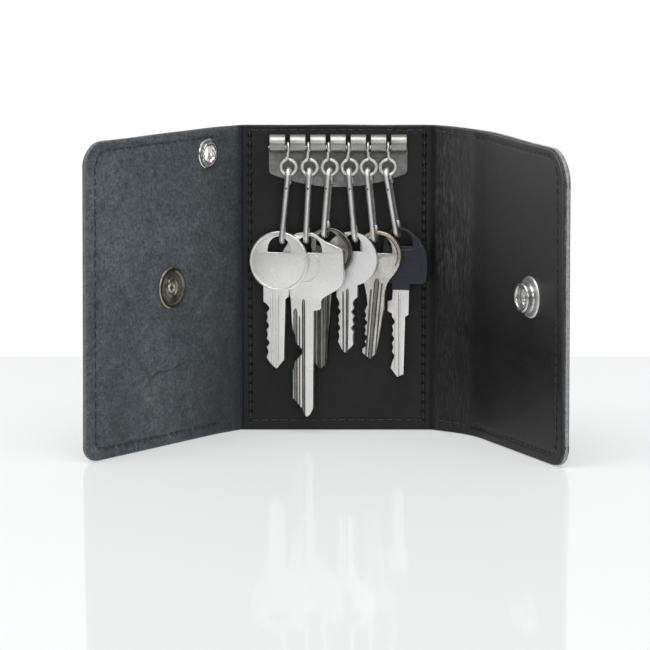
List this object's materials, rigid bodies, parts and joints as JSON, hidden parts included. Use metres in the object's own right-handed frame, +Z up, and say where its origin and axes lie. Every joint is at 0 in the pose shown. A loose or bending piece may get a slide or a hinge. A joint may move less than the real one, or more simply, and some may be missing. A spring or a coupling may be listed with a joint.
{
  "type": "key case",
  "caption": "Tri-fold leather key case standing open on its edges, with a hook plate of sprung hooks on swivel rings carrying keys, an eyelet and a snap fastener.",
  "frame": {"origin": "middle of the centre panel's bottom edge, in the middle of the outer leather's thickness", "axes": "+Z up along the creases, front (the lined inside, with the keys) towards -Y, +X to the right seen from the front"},
  "size_m": [0.1585, 0.0755, 0.106],
  "materials": {
    "outer_leather": "smooth black grain leather, raw grey-blue flesh side, fuzzy grey cut edge",
    "flesh_side": "raw grey-blue suede-like flesh side of the outer leather",
    "lining_leather": "smooth satin black leather, worn at the folds",
    "thread": "black waxed thread",
    "nickel": "satin aged nickel",
    "dark_nickel": "mottled dark nickel sheet",
    "bright_nickel": "polished nickel plate",
    "key_metal": "nickel-plated brass, finely scratched",
    "key_brass": "nickel plate worn to brass at the edges",
    "key_plastic": "dark navy-black plastic"
  },
  "bodies": {
    "centre_panel": {"outer_centre": "outer_leather", "lining_centre": "lining_leather", "stitches_centre": "thread", "key_plate": "dark_nickel", "ring_rod": "nickel", "bend_left_inner": "flesh_side", "bend_right_inner": "outer_leather", "lining_bend_inner": "lining_leather"},
    "left_spine": {"outer_left_spine": "flesh_side", "bend_left_outer": "flesh_side"},
    "left_flap": {"outer_left_flap": "flesh_side", "stitches_left_flap": "thread", "eyelet": "bright_nickel", "eyelet_washer": "bright_nickel", "snap_socket": "dark_nickel", "socket_post": "dark_nickel"},
    "right_spine": {"outer_right_spine": "outer_leather", "lining_right_spine": "lining_leather", "bend_right_outer": "outer_leather", "lining_bend_outer": "lining_leather"},
    "right_flap": {"outer_right_flap": "outer_leather", "lining_right_flap": "lining_leather", "stitches_right_flap": "thread", "snap_stud": "bright_nickel", "stud_cap": "bright_nickel"},
    "ring_1": {"ring_1": "nickel"},
    "hook_1": {"hook_1": "nickel"},
    "gate_1": {"gate_1": "nickel"},
    "key_1": {"key_1": "key_metal"},
    "ring_2": {"ring_2": "nickel"},
    "hook_2": {"hook_2": "nickel"},
    "gate_2": {"gate_2": "nickel"},
    "key_2": {"key_2": "key_metal"},
    "ring_3": {"ring_3": "nickel"},
    "hook_3": {"hook_3": "nickel"},
    "gate_3": {"gate_3": "nickel"},
    "key_3": {"key_3": "key_metal"},
    "ring_4": {"ring_4": "nickel"},
    "hook_4": {"hook_4": "nickel"},
    "gate_4": {"gate_4": "nickel"},
    "key_4": {"key_4": "key_metal"},
    "ring_5": {"ring_5": "nickel"},
    "hook_5": {"hook_5": "nickel"},
    "gate_5": {"gate_5": "nickel"},
    "key_5": {"key_5": "key_brass"},
    "ring_6": {"ring_6": "nickel"},
    "hook_6": {"hook_6": "nickel"},
    "gate_6": {"gate_6": "nickel"},
    "key_6": {"key_6_blade": "key_metal", "key_6_head": "key_plastic"}
  },
  "joints": [
    {"name": "left_spine_fold", "type": "hinge", "parent": "centre_panel", "child": "left_spine", "pos_m": [-0.03275, -0.00095, 0.053], "axis": [0, 0, -1], "range_deg": [-45, 45], "deforming": ["bend_left_inner"]},
    {"name": "left_flap_fold", "type": "hinge", "parent": "left_spine", "child": "left_flap", "pos_m": [-0.04067, -0.00887, 0.053], "axis": [0, 0, -1], "range_deg": [-82, 8], "deforming": ["bend_left_outer"]},
    {"name": "right_spine_fold", "type": "hinge", "parent": "centre_panel", "child": "right_spine", "pos_m": [0.03275, -0.00195, 0.053], "axis": [0, 0, 1], "range_deg": [-43, 37], "deforming": ["bend_right_inner", "lining_bend_inner"]},
    {"name": "right_flap_fold", "type": "hinge", "parent": "right_spine", "child": "right_flap", "pos_m": [0.04633, -0.01218, 0.053], "axis": [0, 0, 1], "range_deg": [-70.5, 29.5], "deforming": ["bend_right_outer", "lining_bend_outer"]},
    {"name": "ring_swing_1", "type": "hinge", "parent": "centre_panel", "child": "ring_1", "pos_m": [-0.0169, -0.00565, 0.0987], "axis": [-1, 0, 0], "range_deg": [0, 75]},
    {"name": "hook_sway_1", "type": "hinge", "parent": "ring_1", "child": "hook_1", "pos_m": [-0.01665, -0.0062, 0.0894], "axis": [-0.2419, -0.9703, 0], "range_deg": [-1.5, 2]},
    {"name": "key_sway_1", "type": "hinge", "parent": "hook_1", "child": "key_1", "pos_m": [-0.0189, -0.0073, 0.0666], "axis": [-0.2419, -0.9703, 0], "range_deg": [-1.5, 1.5]},
    {"name": "gate_open_1", "type": "hinge", "parent": "hook_1", "child": "gate_1", "pos_m": [-0.0167, -0.00414, 0.08659], "axis": [-0.9902, 0.1044, 0.0927], "range_deg": [0, 10], "stiffness_Nm_per_rad": 0.0002, "springref_deg": -1.72},
    {"name": "ring_swing_2", "type": "hinge", "parent": "centre_panel", "child": "ring_2", "pos_m": [-0.01, -0.00565, 0.0987], "axis": [-1, 0, 0], "range_deg": [0, 75]},
    {"name": "hook_sway_2", "type": "hinge", "parent": "ring_2", "child": "hook_2", "pos_m": [-0.0094, -0.0062, 0.0894], "axis": [-0.2419, -0.9703, 0], "range_deg": [-1.5, 2]},
    {"name": "key_sway_2", "type": "hinge", "parent": "hook_2", "child": "key_2", "pos_m": [-0.0106, -0.0071, 0.0666], "axis": [-0.2419, -0.9703, 0], "range_deg": [-1.5, 1.5]},
    {"name": "gate_open_2", "type": "hinge", "parent": "hook_2", "child": "gate_2", "pos_m": [-0.00932, -0.00412, 0.08661], "axis": [-0.9934, 0.1044, 0.0482], "range_deg": [0, 10], "stiffness_Nm_per_rad": 0.0002, "springref_deg": -1.72},
    {"name": "ring_swing_3", "type": "hinge", "parent": "centre_panel", "child": "ring_3", "pos_m": [-0.0031, -0.00565, 0.0987], "axis": [-1, 0, 0], "range_deg": [0, 75]},
    {"name": "hook_sway_3", "type": "hinge", "parent": "ring_3", "child": "hook_3", "pos_m": [-0.0025, -0.0062, 0.0894], "axis": [-0.2419, -0.9703, 0], "range_deg": [-1.5, 2]},
    {"name": "key_sway_3", "type": "hinge", "parent": "hook_3", "child": "key_3", "pos_m": [-0.0041, -0.00645, 0.0684], "axis": [-0.2419, -0.9703, 0], "range_deg": [-1.5, 1.5]},
    {"name": "gate_open_3", "type": "hinge", "parent": "hook_3", "child": "gate_3", "pos_m": [-0.0021, -0.00412, 0.08664], "axis": [-0.9587, 0.2756, 0.0698], "range_deg": [0, 10], "stiffness_Nm_per_rad": 0.0002, "springref_deg": -1.72},
    {"name": "ring_swing_4", "type": "hinge", "parent": "centre_panel", "child": "ring_4", "pos_m": [0.0038, -0.00565, 0.0987], "axis": [-1, 0, 0], "range_deg": [0, 75]},
    {"name": "hook_sway_4", "type": "hinge", "parent": "ring_4", "child": "hook_4", "pos_m": [0.0043, -0.0062, 0.0894], "axis": [-0.2419, -0.9703, 0], "range_deg": [-1.5, 2]},
    {"name": "key_sway_4", "type": "hinge", "parent": "hook_4", "child": "key_4", "pos_m": [0.0063, -0.0066, 0.067], "axis": [-0.2419, -0.9703, 0], "range_deg": [-1.5, 1.5]},
    {"name": "gate_open_4", "type": "hinge", "parent": "hook_4", "child": "gate_4", "pos_m": [0.00485, -0.00407, 0.0867], "axis": [-0.9861, 0.1392, -0.0905], "range_deg": [0, 10], "stiffness_Nm_per_rad": 0.0002, "springref_deg": -1.72},
    {"name": "ring_swing_5", "type": "hinge", "parent": "centre_panel", "child": "ring_5", "pos_m": [0.0107, -0.00565, 0.0987], "axis": [-1, 0, 0], "range_deg": [0, 75]},
    {"name": "hook_sway_5", "type": "hinge", "parent": "ring_5", "child": "hook_5", "pos_m": [0.01085, -0.0062, 0.0894], "axis": [-0.2419, -0.9703, 0], "range_deg": [-1.5, 2]},
    {"name": "key_sway_5", "type": "hinge", "parent": "hook_5", "child": "key_5", "pos_m": [0.0131, -0.006, 0.0669], "axis": [-0.2419, -0.9703, 0], "range_deg": [-1.5, 1.5]},
    {"name": "gate_open_5", "type": "hinge", "parent": "hook_5", "child": "gate_5", "pos_m": [0.01172, -0.00406, 0.08679], "axis": [-0.9567, 0.2756, -0.0932], "range_deg": [0, 10], "stiffness_Nm_per_rad": 0.0002, "springref_deg": -1.72},
    {"name": "ring_swing_6", "type": "hinge", "parent": "centre_panel", "child": "ring_6", "pos_m": [0.0176, -0.00565, 0.0987], "axis": [-1, 0, 0], "range_deg": [0, 75]},
    {"name": "hook_sway_6", "type": "hinge", "parent": "ring_6", "child": "hook_6", "pos_m": [0.0174, -0.0062, 0.0894], "axis": [-0.2419, -0.9703, 0], "range_deg": [-1.5, 2]},
    {"name": "key_sway_6", "type": "hinge", "parent": "hook_6", "child": "key_6", "pos_m": [0.021, -0.0052, 0.0684], "axis": [-0.2419, -0.9703, 0], "range_deg": [-1.5, 1.5]},
    {"name": "gate_open_6", "type": "hinge", "parent": "hook_6", "child": "gate_6", "pos_m": [0.01844, -0.00396, 0.08694], "axis": [-0.9496, 0.2753, -0.1497], "range_deg": [0, 10], "stiffness_Nm_per_rad": 0.0002, "springref_deg": -1.72}
  ],
  "couplings": [
    {"joint": "ring_swing_1", "follows": "ring_swing_2", "ratio": 1},
    {"joint": "hook_sway_1", "follows": "hook_sway_2", "ratio": 1},
    {"joint": "key_sway_1", "follows": "key_sway_2", "ratio": 1},
    {"joint": "ring_swing_3", "follows": "ring_swing_2", "ratio": 1},
    {"joint": "hook_sway_3", "follows": "hook_sway_2", "ratio": 1},
    {"joint": "key_sway_3", "follows": "key_sway_2", "ratio": 1},
    {"joint": "ring_swing_4", "follows": "ring_swing_2", "ratio": 1},
    {"joint": "hook_sway_4", "follows": "hook_sway_2", "ratio": 1},
    {"joint": "key_sway_4", "follows": "key_sway_2", "ratio": 1},
    {"joint": "ring_swing_5", "follows": "ring_swing_2", "ratio": 1},
    {"joint": "hook_sway_5", "follows": "hook_sway_2", "ratio": 1},
    {"joint": "key_sway_5", "follows": "key_sway_2", "ratio": 1},
    {"joint": "ring_swing_6", "follows": "ring_swing_2", "ratio": 1},
    {"joint": "hook_sway_6", "follows": "hook_sway_2", "ratio": 1},
    {"joint": "key_sway_6", "follows": "key_sway_2", "ratio": 1}
  ]
}
